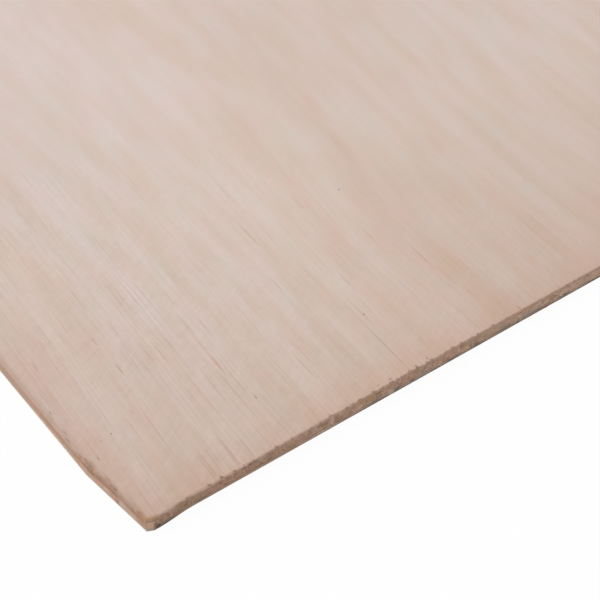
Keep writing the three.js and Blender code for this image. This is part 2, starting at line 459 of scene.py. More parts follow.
# Upper ply: what its surface is made of. addPatterns reads a pattern's row, and layTones a layer's row.
faceFinish = dict(
    # tones along the grain from the sawn end, and the tint of each broad band of the figure, by place in mm
    reach=250.0,
    # these tones also paint the light: darker by the sawn end, paler and greyer away from it as a soft
    # painted sheen
    tones=((0, "#CDB1A1"), (14, "#D1BAAC"), (45, "#D5C0B4"), (105, "#DAC7BC"), (225, "#DDCBC3")),
    span=250.0,
    bands=(
        (0, "#F7F0ED"), (14, "#FBF9F7"), (32, "#FBFAF9"), (44, "#FDFEFF"), (66, "#FDFDFC"), (82, "#FFFFFF"),
        (92, "#FEFDFC"), (105, "#FFFFFE"), (120, "#FDF9F5"), (131, "#FDFCFA"), (145, "#F9F4F0"),
        (158, "#FAF8F5"), (176, "#FAF7F4"), (228, "#FAF9F8"),
    ),
    # the fibres lean aside by a share of the way along, and the sheet's middle fans out a little further
    lean=0.07, fan=dict(shift=18.0, along=(35, 230), across=(60, 160), follow=0.15),
    # on the sheet's own axes: sideways bend of the grain in mm, what shows after sanding, cut and torn wood
    flat=dict(
        bend=((45, 190, 45), 1, 0.0, 1.0, -1.6, 1.6),
        sanded=((60, 90, 60), 2, 0.35, 0.65, 0.86, 1.16),
        pores=((0.6, 0.9, 1.4), 2, 0.34, 0.66, 0.0, 1.0),
        fibres=((0.4, 3.5, 0.4), 2, 0.34, 0.66, 0.0, 1.0),
    ),
    # fine sanding marks that cross the grain, turned from the sheet's X axis
    sandingTurn=28.0, crossed=dict(crossing=((5.5, 1.1, 5.5), 2, 0.28, 0.72, -0.023, 0.023)),
    # along the bent grain: clouds of warmer, redder and lighter wood, clusters of 1 mm lines, open vessels,
    # and a broad figure
    grained=dict(
        warmth=((10, 60, 10), 1, 0.28, 0.72, -0.9, 0.9),
        redness=((8, 15, 8), 2, 0.28, 0.72, -1.0, 1.0),
        shade=((7, 60, 7), 1, 0.28, 0.72, 0.99, 1.009),
        streaky=((1.7, 34, 1.7), 1, 0.3, 0.7, -0.012, 0.0095),
        mottle=((3.4, 4.4, 3.4), 2, 0.3, 0.7, -0.022, 0.022),
        clusters=((6, 40, 6), 2, 0.38, 0.62, 0.4, 1.15),
        lines=((0.75, 32, 0.75), 0, 0.25, 0.75, -0.045, 0.032),
        vessels=((0.62, 26, 0.62), 0, 0.62, 0.84, 0.0, 0.26),
        figure=((42, 620, 42), 3, 0.3, 0.7, -0.035, 0.035),
    ),
    # away from the corner, by place across plus place along, the broad figure comes in and the clouds calm
    away=(390, 640), calm=0.55,
    # what each adds to red, green and blue
    tints=dict(
        shownLines=(0.85, 1, 1.2), streaky=(0.75, 1, 1.3), warmth=(-0.017, -0.042, -0.076),
        redness=(0.018, -0.0105, -0.006), figure=(0.75, 1, 1.3),
    ),
    layers=(
        (None, "vessels", "#A87F66"), (None, "warm", "#C9996C"), (None, "amber", "#C2783F"),
        (None, "russet", "#B5694A"), (None, "umber", "#8F6A4C"), (None, "bruisesAndChipShade", "#8C6A57"),
        (None, "pins", "#57433A"), ("rim", None, "#A8846F"), ("side", None, "#B39481"),
        ("lip", None, "#E6BDA6"), ("cut", None, "#AF8D78"), ("cut", "pores", "#BC9D89"),
        ("torn", None, "#9D7C69"), ("torn", "fibres", "#AC8B77"), ("shadeAndGlueLine", None, "#83634F"),
    ) + spotLayers + (("bruise", None, "#AE7E59"),),
    # how clear the fine lines are: places along the diagonal from the corner, and the share at each
    diagonal=(0.8, 0.8, 0.0), clearness=(50, 250, 0.92, 0.18),
    markHold=1.7,  # a mark keeps its full strength until it is 1/1.7 from its rim
    bump=0.25, relief=0.2, roughness=0.62, ior=1.5,
)
# single marks of the face: place across and along from the corner, half length, half width and strength
faceMarks = dict(
    umber=(
        (28.8, 56.4, 3.8, 0.38, 0.28), (22.2, 37.9, 1.6, 0.3, 0.22), (92.6, 58.8, 5, 0.35, 0.14),
        (103.1, 14, 12, 0.32, 0.3), (55.7, 8.1, 10, 0.3, 0.2), (57.1, 61.7, 6.4, 0.32, 0.14),
        (46.7, 81.7, 8, 0.32, 0.14), (34.9, 93.7, 9, 0.32, 0.18), (142.4, 17.3, 7, 0.4, 0.14),
        (76.6, 22.8, 9, 0.35, 0.24), (54.9, 39.8, 6.4, 0.5, 0.09), (150.3, 1.1, 1.9, 0.35, 0.2),
    ),
    russet=(
        (2.8, 3.1, 1.8, 0.8, 0.3), (3.1, 0.6, 1, 0.6, 0.35), (28.8, 56.4, 3.8, 0.38, 0.16),
        (28.9, 72.1, 3.2, 0.5, 0.24), (39.6, 55.4, 4.4, 0.75, 0.13), (43.1, 54.4, 6.5, 0.4, 0.21),
        (134.2, 60.8, 7, 0.4, 0.16), (125, 90.3, 6, 0.9, 0.11), (7.8, 73.3, 3.4, 0.5, 0.24),
        (21.3, 78.8, 5, 0.45, 0.14), (14.5, 80.8, 5, 0.5, 0.16), (56.3, 20.7, 1.3, 0.6, 0.27),
        (36.8, 72.8, 7, 0.4, 0.14),
    ),
    amber=(
        (54.9, 39.8, 6.4, 0.62, 0.24), (100.3, 86, 8, 0.5, 0.18), (141.4, 40.8, 10, 0.75, 0.24),
        (142, 28.8, 8, 1.3, 0.17), (112.6, 45.8, 7, 0.8, 0.16), (150.3, 1.1, 1.9, 0.35, 0.6),
    ),
    bruisesAndChipShade=(
        # the marks along the sawn end, within 2 mm of it, sit at chips of the lip and are painted shade
        (1, 29.2, 2.4, 0.7, 0.32), (1.5, 27, 2.4, 0.9, 0.36), (2.2, 18.8, 3, 0.8, 0.36),
        (4.2, 28, 1.1, 0.45, 0.4), (8.3, 33.5, 0.7, 0.5, 0.24), (1.9, 53, 1.2, 0.4, 0.4),
        (1.4, 42.8, 2.2, 0.35, 0.45), (0.5, 39.6, 2.2, 0.55, 0.5), (2.8, 3.2, 1.9, 0.8, 0.6),
        (3.4, 1.6, 1.6, 0.6, 0.35), (11, 0.5, 0.7, 0.6, 0.24), (1.7, 39, 12, 0.9, 0.1),
        (24.4, 0.5, 0.8, 0.25, 0.4), (29.2, 0.4, 0.7, 0.25, 0.5), (33.4, 0.4, 0.7, 0.4, 0.3),
        (49.4, 0.6, 0.9, 0.28, 0.3), (70, 0.8, 0.8, 0.5, 0.22), (87, 0.7, 0.9, 0.4, 0.22),
        (89.9, 1.7, 0.5, 0.35, 0.55), (94.7, 1.5, 0.5, 0.8, 0.62), (105.2, 1.2, 0.5, 0.5, 0.6),
        (110.1, 1.6, 0.5, 0.5, 0.6), (123.8, 0.4, 0.8, 0.35, 0.5), (168, 1.2, 0.8, 0.4, 0.25),
    ),
    warm=(
        (147, 38.8, 16, 6, 0.1), (121, 63.8, 14, 5, 0.07), (140, 143.8, 14, 5, 0.08),
        (167.5, 136.8, 15, 3.5, 0.13), (160, 108.8, 16, 3.8, 0.1), (151, 180.8, 16, 5, 0.06),
        (190, 88.8, 9, 3.5, 0.1), (179, 62.8, 15, 4.5, 0.07), (171, 16.3, 6, 2, 0.2), (40, 3.8, 3, 9, 0.06),
        (67, 3.8, 3, 8, 0.05), (114, 3.8, 3, 8, 0.06),
    ),
    pins=(
        (12.4, 34.2, 0.32, 0.32, 0.9), (141.8, 87.9, 0.5, 0.5, 0.6), (107, 29.9, 0.42, 0.42, 0.65),
        (56.2, 20.2, 0.4, 0.32, 0.45),
    ),
)


# How far the grain has moved aside at a place: lean * along, plus the fan's shift * two smooth steps.
def grainShift(across, along):
    fan = faceFinish["fan"]
    spread = smoothStep(along, *fan["along"]) * smoothStep(across - fan["follow"] * along, *fan["across"])
    return faceFinish["lean"] * along + fan["shift"] * spread


# The strongest of several soft spots along the grain, each falling off by its half length and half width.
def markField(tree, grain, marks):
    total = None
    for across, along, halfLength, halfWidth, strength in marks:
        local = addNode(tree, "Mapping", {
            "Vector": grain, "Location": (across - grainShift(across, along), along, sheet["top"]),
            "Scale": (halfWidth, halfLength, 1.0),
        }, vector_type="TEXTURE")
        spot = addNode(tree, "TexGradient", {"Vector": local}, "Fac", gradient_type="SPHERICAL")
        rise = addNode(tree, "Math", {0: spot, 1: faceFinish["markHold"] * strength}, operation="MULTIPLY")
        held = addNode(tree, "Math", {0: rise, 1: strength}, operation="MINIMUM")
        total = addNode(tree, "Math", {0: total, 1: held}, operation="MAXIMUM") if total else held
    return total


# Rotary-cut hardwood, lightly sanded: a dull pinkish beige with soft cloudy tints, crossed by fine broken
# lines of open vessels, pinker and darker by the sawn end and paler and greyer away from it: partly the
# wood's own tone and partly painted light, a soft sheen that grows away from the end.
def faceWood():
    s, fan = faceFinish, faceFinish["fan"]
    material, tree, place = startMaterial("rotary cut hardwood veneer")
    made = addPatterns(tree, place, s["flat"])
    across, along = [addNode(tree, "SeparateXYZ", {"Vector": place}, axis) for axis in "XY"]
    following = addNode(tree, "Math", {0: along, 1: -fan["follow"], 2: across}, operation="MULTIPLY_ADD")
    diagonal = addNode(tree, "VectorMath", {0: place, 1: s["diagonal"]}, "Value", operation="DOT_PRODUCT")
    reached = addNode(tree, "Math", {0: across, 1: along}, operation="ADD")
    # what changes smoothly over the sheet: between which places, and from which value to which
    for name, value, (start, finish), (first, last) in (
        ("further", along, fan["along"], (0, fan["shift"])), ("spread", following, fan["across"], (0, 1)),
        ("clear", diagonal, s["clearness"][:2], s["clearness"][2:]),
        ("calm", reached, s["away"], (1, s["calm"])), ("broad", reached, s["away"], (0, 1)),
    ):
        made[name] = addNode(tree, "MapRange", {
            "Value": value, "From Min": start, "From Max": finish, "To Min": first, "To Max": last,
        }, interpolation_type="SMOOTHSTEP")
    # the same shift as grainShift gives, as nodes
    leaning = addNode(tree, "Math", {0: along, 1: s["lean"]}, operation="MULTIPLY")
    aside = addNode(tree, "Math", {
        0: made["further"], 1: made["spread"], 2: leaning,
    }, operation="MULTIPLY_ADD")
    fanned = addNode(tree, "VectorMath", {
        0: place, 1: addNode(tree, "CombineXYZ", {"X": aside}),
    }, operation="SUBTRACT")
    grain = addNode(tree, "VectorMath", {
        0: fanned, 1: addNode(tree, "CombineXYZ", {"X": made["bend"]}),
    }, operation="ADD")
    turned = addNode(tree, "Mapping", {"Vector": place, "Rotation": (0, 0, -math.radians(s["sandingTurn"]))})
    made.update(addPatterns(tree, grain, s["grained"]))
    made.update(addPatterns(tree, turned, s["crossed"]))
    made.update({kind: markField(tree, fanned, marks) for kind, marks in faceMarks.items()})
    # the lines show most by the corner, and less away from it, where the sheet was sanded harder; the clouds
    # are calmer there too, and the broad figure comes in
    for name, first, second, operation in (
        ("clear", "clear", "sanded", "MULTIPLY"), ("shownLines", "lines", "clusters", "MULTIPLY"),
        ("shownLines", "shownLines", "clear", "MULTIPLY"), ("streaky", "streaky", "mottle", "ADD"),
        ("streaky", "streaky", "crossing", "ADD"), ("streaky", "streaky", "clear", "MULTIPLY"),
        ("vessels", "vessels", "clear", "MULTIPLY"), ("warmth", "warmth", "calm", "MULTIPLY"),
        ("redness", "redness", "calm", "MULTIPLY"), ("figure", "figure", "broad", "MULTIPLY"),
    ):
        made[name] = addNode(tree, "Math", {0: made[first], 1: made[second]}, operation=operation)
    colour = made["shade"]
    for name, share in s["tints"].items():
        colour = addNode(tree, "VectorMath", {0: made[name], 1: share, 2: colour}, operation="MULTIPLY_ADD")
    grainPlace = addNode(tree, "SeparateXYZ", {"Vector": grain}, "X")
    # the first ramp, along the grain, paints light along with the tone: darker by the sawn end and greyer
    # away from it as painted sheen
    for at, tones, length in ((along, s["tones"], s["reach"]), (grainPlace, s["bands"], s["span"])):
        share = addNode(tree, "Math", {0: at, 1: length}, operation="DIVIDE")
        ramp = addNode(tree, "ValToRGB", {"Fac": share}, "Color")
        fillRamp(ramp.node.color_ramp, tones, length)
        colour = addNode(tree, "VectorMath", {0: colour, 1: ramp}, operation="MULTIPLY")
    colour = layTones(tree, colour, made, s["layers"])
    height = addNode(tree, "Math", {0: made["lines"], 1: made["vessels"]}, operation="SUBTRACT")
    finishMaterial(tree, colour, height, s)
    return material


# places along each edge: start, width and depth in mm of what the saw tore out of the upper ply
faceShape = dict(
    slivers=((0.6, 6.2, 0.9), (12.9, 9.8, 1.2), (24.2, 11.6, 1.5)),
    largeChips=(
        (24.6, 1, 0.55), (28.9, 1.6, 0.75), (33.6, 1, 0.4), (37.2, 0.7, 0.5), (38.8, 0.7, 0.5),
        (40.6, 0.9, 0.5), (48.8, 1.6, 0.5), (65.6, 1.1, 0.3), (69.7, 2, 0.55), (80.6, 1.6, 0.35),
        (86.2, 1.2, 0.35), (93.5, 0.8, 0.85), (96.2, 1.1, 0.35), (101, 2.4, 0.5), (104.7, 0.7, 0.85),
        (108.5, 1.1, 0.35), (119.6, 1.3, 0.35),
    ),
    smallChips=dict(pitch=7.5, width=1.4, depth=0.3, use=1),
    insets=(3.0, 2.3, 1.8, 1.4, 1.05, 0.8, 0.6, 0.44, 0.32, 0.22, 0.14, 0.07, 0.0),
    wallRows=10,
    arris=0.25, roundRun=0.45,  # height and run of the rounded arris
    # how much more the arris is rounded where the lip is worn, and how worn it is by place along the end
    wornArris=0.2, wornRun=0.1,
    worn=(
        (3, 0.3), (6, 0.3), (9, 0.75), (22, 0.8), (27, 1), (50, 1), (70, 0.5), (86, 0.15), (120, 0.1),
    ),
    # where the cut wood begins, by place along the end: mm in from the edge, or down the wall where below 0
    lipLine=(
        (6, -0.5), (9, -0.8), (14, -0.72), (18, -1.1), (22, -1.2), (40, -0.95), (44, -0.62), (60, -0.42),
        (75, -0.28), (86, -0.02), (100, 0.08), (120, 0.18), (140, 0.05), (157, 0), (172, 0.05),
    ),
    lipSoft=0.32, lipLean=0.4,
    # how much paler and warmer the wood is above it, by place along the end: partly its own warmer tone and
    # partly painted light on the uncut wall, which faces away from the lamp
    lipPaintedLight=((10, 0), (14, 0.25), (24, 0.45), (30, 0.55), (42, 0.5), (50, 0.2), (60, 0)),
    # where it steps inward as a notch darkened by painted shade, or down under a pale tuft if the rise is
    # below 0: place, half width and rise in mm
    lipSteps=(
        (9.5, 0.8, -0.2), (11.6, 1, -0.3), (14.3, 0.8, 0.3), (16, 1, -0.25), (17.7, 0.7, 0.35),
        (23.2, 1.1, -0.35), (24.9, 0.4, 1.5), (29.6, 0.45, 1.5), (34, 0.6, 0.6), (37.4, 0.6, -0.35),
        (39.4, 0.5, 0.3), (45.6, 0.7, 0.2), (49.6, 0.4, 0.5), (55.1, 0.6, 0.35), (56.5, 0.6, -0.3),
        (57.6, 0.5, 0.25), (64.4, 0.8, -0.25), (70.4, 1.2, 0.7), (76.2, 0.5, 0.6), (77.5, 0.6, -0.4),
        (78.8, 0.5, 0.5), (79.6, 0.5, -0.4), (81.8, 1.2, 0.4), (87.3, 0.7, 0.6), (88.3, 0.6, -0.45),
        (90.2, 0.5, 0.3), (94.7, 0.5, 0.7), (95.8, 0.6, -0.7), (96.7, 0.5, 0.4), (98.6, 0.6, 0.4),
        (102.3, 0.8, 0.5), (105.2, 0.5, 0.9), (108, 1.2, -0.7), (109.1, 0.4, 0.7), (111, 0.5, 0.6),
        (113.7, 0.6, -0.6), (115.5, 0.5, -0.3), (117.4, 1.5, 0.2), (120.1, 0.8, 0.45), (124, 0.6, 0.5),
        (128.2, 0.7, 0.3), (129.8, 0.7, -0.5), (130.8, 0.5, 0.6), (137.7, 0.5, 0.6), (139.2, 0.8, -0.3),
        (143.4, 0.6, 0.2), (149.7, 0.8, -0.6), (151.6, 0.8, 0.3), (155, 1.5, 0.15), (159, 0.6, 0.25),
        (164.8, 0.8, 0.25), (169.8, 0.9, -0.3), (171.2, 0.5, 0.4),
    ),
    palerSide=((3, 0), (5, 0.3), (10, 0.22), (14, 0.1), (17, 0), (23, 0), (26, 0.3), (33, 0.35), (42, 0)),
    lipBite=0.6,  # share of each chip's depth that is torn clean away; the rest stays as fibre
    frayEnd=0.14, fraySide=0.08, frayStray=0.16,
)


# Rows of the upper ply. Its edge lies at depth = bites * broken noise + fray. Above it the surface falls on a
# quarter ellipse, arris * (1 - sqrt(1 - (1 - inset / run)^2)); below it the wall runs out to the glue line.
def faceRows():
    s = faceShape
    bottom, top = sheet["coreTop"], sheet["top"]
    d, across, up, end = path["distance"], path["acrossFaceGrain"], path["up"], path["end"]
    chips = inOrder(list(scatterBites(**s["smallChips"])) + list(s["largeChips"]))
    sideBites, endBites = biteDepth(up, s["slivers"]), biteDepth(end, chips)
    # the stray cut reaches a little past the corner's kink; the end is worn down near the corner
    stray = smoothStep(up, corner["strayRun"] + 10, corner["strayRun"]) * path["onSide"]
    worn = byPlace(end, s["worn"]) + 0.8 * smoothStep(path["fromTip"], 3, 1)
    worn = np.clip(worn, 0, 1)
    # across the grain single fibres break at uneven lengths; along it long slivers lift away
    frayEnd = s["frayEnd"] * roughNoise(d / 0.45, 0, 11) ** 2 + 0.05 * roughNoise(d / 2.6, 0, 12)
    fraySide = s["fraySide"] * roughNoise(d / 3.1, 0, 13)
    fraySide = fraySide + s["frayStray"] * stray * roughNoise(d / 1.9, 0, 18) ** 2
    broken = 0.35 + 0.9 * roughNoise(d / 1.8, 0, 14, 2)
    tornSide = 0.7 * sideBites * broken
    edge = np.maximum(tornSide, s["lipBite"] * endBites * (0.6 + 0.5 * broken))
    edge = edge + frayEnd * across + fraySide * (1 - across)
    run = (s["roundRun"] + s["wornRun"] * worn) * (0.6 + 0.8 * smoothNoise(d / 2.3, 0, 15)) + 1.2 * tornSide
    arris = (s["arris"] + s["wornArris"] * worn) * (0.7 + 0.6 * smoothNoise(d / 1.7, 0, 19)) + 0.5 * tornSide
    arris = np.minimum(arris, 0.85 * (top - bottom))
    insets = np.array(s["insets"])[:, None]
    topDepth = rowsInward(edge, insets)
    fall = np.clip(1 - insets / run, 0, 1)
    fibreLine = roughNoise(topDepth / 0.22, d / 4, 20) * (1 - across)
    fibreLine = fibreLine + roughNoise(d / 0.25, topDepth / 2, 21) * across
    topHeight = top - arris * (1 - np.sqrt(1 - fall ** 2)) - 0.09 * fibreLine * fall
    wall = np.linspace(1, 0, s["wallRows"] + 1)[1:, None]
    wallHeight = bottom + (topHeight[-1] - bottom) * wall
    gritEnd = 0.12 * roughNoise(d / 0.3, wallHeight / 0.35, 16)
    gritSide = (0.05 + 0.1 * np.clip(tornSide, 0, 1)) * roughNoise(d / 3.5, wallHeight / 0.16, 17)
    grit = gritEnd * across + gritSide * (1 - across)
    wallDepth = edge * (0.15 + 0.85 * wall ** 1.3) + grit * np.minimum(1, 4 * (1 - wall))
    under = np.full((1, len(d)), insets[0, 0])
    return dict(
        depth=np.concatenate([topDepth, wallDepth, under]),
        height=np.concatenate([topHeight, wallHeight, 0 * under + bottom]),
        inset=np.concatenate([insets + 0 * d, 0 * wallDepth, under]),
        onWall=np.concatenate([0 * topDepth, 1 + 0 * wallDepth, 1 + 0 * under]),
        stray=stray, tornSide=tornSide, endBites=endBites,
    )


# How strongly each tone covers each point of those rows. A tone's value is its place along the edge, times
# smooth steps of the height and of the distance in from the edge, times noise that breaks its rim.
def faceTones(rows):
    s = faceShape
    bottom, top = sheet["coreTop"], sheet["top"]
    d, across, up, end = path["distance"], path["acrossFaceGrain"], path["up"], path["end"]
    height, inset, onWall = rows["height"], rows["inset"], rows["onWall"]
    stray, tornSide, endBites = rows["stray"], rows["tornSide"], rows["endBites"]
    level = np.clip((height - bottom) / (top - bottom), 0, 1)
    # the cut shows ragged along the lip: lower down where the arris is worn, and just over it elsewhere
    ragged = 0.5 * roughNoise(d / 0.6, inset / 0.6, 22, 2) - 0.25
    onLip = smoothStep(inset, 2.0, 1.2)
    inward = inset - (top - height)
    line = byPlace(end, s["lipLine"], s["lipLine"][0][1]) + 0.5 * ragged
    line = line - 0.4 * smoothStep(path["fromTip"], 3, 1)
    notch = 0 * inset
    for at, halfWidth, rise in s["lipSteps"]:
        bump = np.exp(-((end + s["lipLean"] * inward - at) / halfWidth) ** 2)
        line = line + rise * bump
        notch = np.maximum(notch, np.clip(1.4 * rise, 0, 1) * bump)
    below = smoothStep(inward, line + s["lipSoft"], line - s["lipSoft"])
    cut = below * onLip * across
    # above the line the uncut wall and the edge of the top get a pale warm tone: painted light
    lip = byPlace(end, s["lipPaintedLight"]) * (1 - below) * across
    lip = lip * np.maximum(onWall, smoothStep(inset, 0.9, 0.2))
    notch = notch * cut * smoothStep(inward, -1.9, -0.7)
    paler = byPlace(up, s["palerSide"])
    side = smoothStep(level, 0.95 + ragged, 0.6 + ragged) * onLip
    side = np.maximum(side, 0.6 * smoothStep(inset, 0.7 + ragged, 0))
    side = side * (1 - across) * (1 - paler)
    # torn wood fades out over the face as soft fuzz
    patchy = roughNoise(d / 2.4, inset / 0.9, 23, 2)
    reach = 0.4 + 0.8 * np.clip(tornSide, 0, 1.2)
    torn = np.clip(tornSide / 0.5, 0, 1) * smoothStep(inset, reach * (0.5 + 1.3 * patchy), 0)
    torn = np.maximum(torn, onWall * stray * (0.65 + 0.35 * patchy))
    torn = np.maximum(torn, stray * smoothStep(inset, 0.75, 0.05) * (0.6 + 0.5 * patchy)) * 0.85 * (1 - paler)
    rim = 0.36 + 0.05 * stray + 0.12 * smoothStep(up, 41, 46)
    rim = (0.06 * across + rim * (1 - across)) * np.exp(-(inset / 1.25) ** 2)
    rim = rim * (0.55 + 0.9 * roughNoise(d / 2.6, inset / 1.2, 24))
    rim = rim * smoothStep(inset, 2.8, 1.9) * (1 - onWall)
    # painted shade in the chips of the lip and in its notches, and a dark line at the foot of the upper ply:
    # glue line and painted shade under the ply
    shadeAndGlueLine = np.clip((endBites + 0 * inset) / 0.6, 0, 1) * smoothStep(inset, 0.2, 0) * (0.25 + 0.5 * level)
    glue = onWall * smoothStep(level, 0.16, 0) * (0.12 + 0.2 * across) * np.maximum(below, 1 - across)
    glue = glue * smoothStep(path["fromTip"], 1, 2)
    bruise = smoothStep(path["fromTip"], 4.5, 1.2) * smoothStep(inset, 1.3, 0.2)
    bruise = bruise * smoothStep(level, -0.3, 0.4) * (0.35 + 0.8 * roughNoise(d / 0.9, inset / 0.7, 25, 2))
    marked = np.maximum(onWall, 0.8 * onLip * smoothStep(level, 1, 0.8)) * np.maximum(below, 1 - across)
    return dict(
        cut=cut, side=side, lip=lip, torn=torn, rim=rim, bruise=np.clip(bruise, 0, 1) * 0.8,
        shadeAndGlueLine=np.maximum(np.maximum(shadeAndGlueLine, glue) * 0.75, 0.42 * notch),
        **{kind: share * marked for kind, share in spotValues(height).items()},
    )


faceEdge = faceRows()
facePly = shellMesh("face_ply", faceEdge["depth"], faceEdge["height"], faceTones(faceEdge))
facePly.data.materials.append(faceWood())
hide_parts("face_veneer")
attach(facePly, "root")
print("face ply:", len(facePly.data.polygons), "faces")


# Middle ply: what its surface is made of. It is cross-banded, so its fibres run along the sawn end.
coreFinish = dict(
    base="#B3907B",
    flat=dict(
        swirl=((6, 6, 3), 2, 0.0, 1.0, -1.8, 1.8),
        rosy=((5, 5, 2.2), 2, 0.52, 0.7, 0.0, 0.4),
        olive=((4.5, 4.5, 2.0), 2, 0.54, 0.7, 0.0, 0.35),
        pores=((3.5, 1.6, 0.8), 1, 0.36, 0.64, 0.0, 0.6),
    ),
    # brown clumps a millimetre across and paler upright strands between them, bent by the swirl and leaning
    strandLean=0.4,
    swirled=dict(
        clumps=((1.3, 1.5, 1.3), 3, 0.36, 0.64, 0.0, 0.85),
        strands=((0.8, 0.9, 2.2), 3, 0.48, 0.67, 0.0, 0.75),
    ),
    endLayers=(
        (None, "clumps", "#9A7763"), (None, "strands", "#C8A891"), (None, "rosy", "#B98D7B"),
        (None, "olive", "#A88D6C"),
    ),
    sideLayers=(
        ("sideGrain", None, "#AC8C79"), ("sideGrain", "pores", "#B69785"), ("light", None, "#B8997F"),
        ("greyed", None, "#BFA996"), ("brownedAndShaded", None, "#9C7A66"), ("shadeAndGlueLine", None, "#84654F"),
        ("hangingFibreLight", None, "#D6B9A4"),
    ) + spotLayers + (("tip", None, "#D0AA8E"),),
    dim=(28.0, 172.0, 0.98, 1.22),  # the end is darker beside the corner: from, to, and its light at each
    bump=0.3, relief=0.25, roughness=0.85, ior=1.45,
)


# Thick cross-banded hardwood, rough from the saw, which gives clumps of brown and pale fibre on the end, and
# pores cut clean to a pinkish tan on the side.
def coreWood():
    s = coreFinish
    material, tree, place = startMaterial("rough sawn core veneer")
    made = addPatterns(tree, place, s["flat"])
    height = addNode(tree, "SeparateXYZ", {"Vector": place}, "Z")
    leaning = addNode(tree, "Math", {0: height, 1: s["strandLean"]}, operation="MULTIPLY")
    shift = addNode(tree, "CombineXYZ", {"X": leaning, "Z": made["swirl"]})
    swirled = addNode(tree, "VectorMath", {0: place, 1: shift}, operation="ADD")
    made.update(addPatterns(tree, swirled, s["swirled"]))
    colour = layTones(tree, linearColour(s["base"]), made, s["endLayers"])
    start, finish, first, last = s["dim"]
    light = addNode(tree, "MapRange", {
        "Value": addNode(tree, "SeparateXYZ", {"Vector": place}, "X"),
        "From Min": start, "From Max": finish, "To Min": first, "To Max": last,
    })
    colour = addNode(tree, "VectorMath", {0: colour, "Scale": light}, operation="SCALE")
    colour = layTones(tree, colour, made, s["sideLayers"])
    finishMaterial(tree, colour, made["clumps"], s)
    return material


coreShape = dict(
    hollows=dict(pitch=12.5, width=9.0, depth=0.35, use=4),
    wallRows=24, insets=(3.0, 2.2, 1.5, 0.9, 0.5, 0.2),
    # hollows are darkened by painted shade, darkest at this depth
    deepest=0.75,  # mm of wall depth at which a hollow is darkest
    tipHalf=1.15,  # half the run of the broken tip
    # how far pale fibres of the upper ply hang down over the core, by place along the end; their pale tone is
    # also painted light, as if a rounded arris caught the light like the top
    hangingFibreLight=((6, 0.1), (9, 0.7), (30, 0.6), (42, 0.45), (52, 0.25), (70, 0.35), (90, 0.2), (150, 0.3)),
)


# Middle ply. Wall depth of the end = hollows * 4h(1 - h), where h is the share of its height, + torn fibres;
# the side grain has fine pits.
def buildCoreVeneer():
    s = coreShape
    bottom, top = sheet["coreBottom"], sheet["coreTop"]
    d, across, up, end = path["distance"], path["acrossFaceGrain"], path["up"], path["end"]
    hollows = biteDepth(end, inOrder(scatterBites(**s["hollows"])))
    level = np.linspace(1, 0, s["wallRows"])[:, None]
    z = bottom + (top - bottom) * level
    swirl = 1.6 * roughNoise(d / 6, z / 3, 31)
    strands = roughNoise(d / 1.8, (z + swirl) / 0.6, 32) ** 1.5
    lumps = roughNoise(d / 1.4, z / 1.1, 33)
    endDepth = 0.02 + hollows * 4 * level * (1 - level) + 0.14 * strands
    endDepth = endDepth + 0.25 * lumps * smoothStep(lumps, 0.42, 0.7)
    sideDepth = 0.02 + 0.06 * roughNoise(d / 1.2, z / 0.6, 34) + 0.06 * roughNoise(d / 5, z / 0.9, 35)
    wallDepth = endDepth * across + sideDepth * (1 - across)
    insets = np.array(s["insets"])[:, None]
    topDepth = rowsInward(wallDepth[:1], insets)
    rough = roughNoise(path["x"] / 1.6, (path["y"] + insets) / 0.5, 36)
    topHeight = top - 0.22 * rough * smoothStep(insets, 3.0, 1.8)
    under = np.full((1, len(d)), insets[0, 0])
    depth = np.concatenate([topDepth, wallDepth, under])
    height = np.concatenate([topHeight, z + 0 * d, 0 * under + bottom])
    height[len(insets)] = topHeight[-1]
    # values on the wall, which the flat rows above it take from its upper edge
    ends = np.maximum(smoothStep(level, 0.93, 1), 0.7 * smoothStep(level, 0.05, 0))
    # painted shade where the plies meet, along the top and bottom of the wall, with dark glue lines there,
    # and in the deepest hollows
    shadeAndGlueLine = ends * (0.3 + 0.5 * roughNoise(d / 2.2, z, 37)) * (0.3 * across + 0.15 * (1 - across))
    shadeAndGlueLine = np.maximum(shadeAndGlueLine, 0.35 * smoothStep(wallDepth, 0.25, s["deepest"]) * across)
    side = 1 - across
    stray = smoothStep(up, corner["strayRun"] + 12, corner["strayRun"]) * path["onSide"]
    tip = 0.85 * smoothStep(path["fromTip"], 1.2 * s["tipHalf"], 0.6 * s["tipHalf"])
    # a painted shadow line under the upper ply at the broken tip
    underFace = tip * smoothStep(z + 0.8 * lumps, 3.7, 4.4)
    tip = tip * smoothStep(z, 4.2, 3.4) * (0.45 + 0.8 * roughNoise(d / 0.6, z / 0.8, 41, 2))
    # pale fibres hanging from the upper ply, made paler as painted light
    hangingFibreLight = byPlace(end, s["hangingFibreLight"]) * smoothStep(z, 3.3, 4.4) * across
    hangingFibreLight = hangingFibreLight * (0.5 + roughNoise(d / 0.8, z / 2, 40))
    greyed = 0.35 * smoothStep(end, 90, 165) * across
    # under the upper ply along the stray cut the core is browner: torn wood, and partly painted shade under
    # the ply
    brownedAndShaded = stray * smoothStep(z, 2.5, 3.4) * (0.6 + 0.5 * roughNoise(d / 2.5, z / 1.2, 39)) * side
    light = 0.7 * (1 - smoothStep(z, 1.2, 2.2) * smoothStep(z, 4.2, 3.6)) * (1 - stray) * side
    wallValues = dict(
        sideGrain=side + 0 * z, shadeAndGlueLine=shadeAndGlueLine, tip=np.clip(tip, 0, 1), light=light,
        brownedAndShaded=np.clip(np.maximum(brownedAndShaded, underFace), 0, 1),
        hangingFibreLight=np.clip(hangingFibreLight, 0, 1), greyed=greyed + 0 * z, **spotValues(z + 0 * d),
    )
    values = {
        key: np.concatenate([0 * topDepth + value[:1], value, 0 * under]) for key, value in wallValues.items()
    }
    return shellMesh("core_ply", depth, height, values)


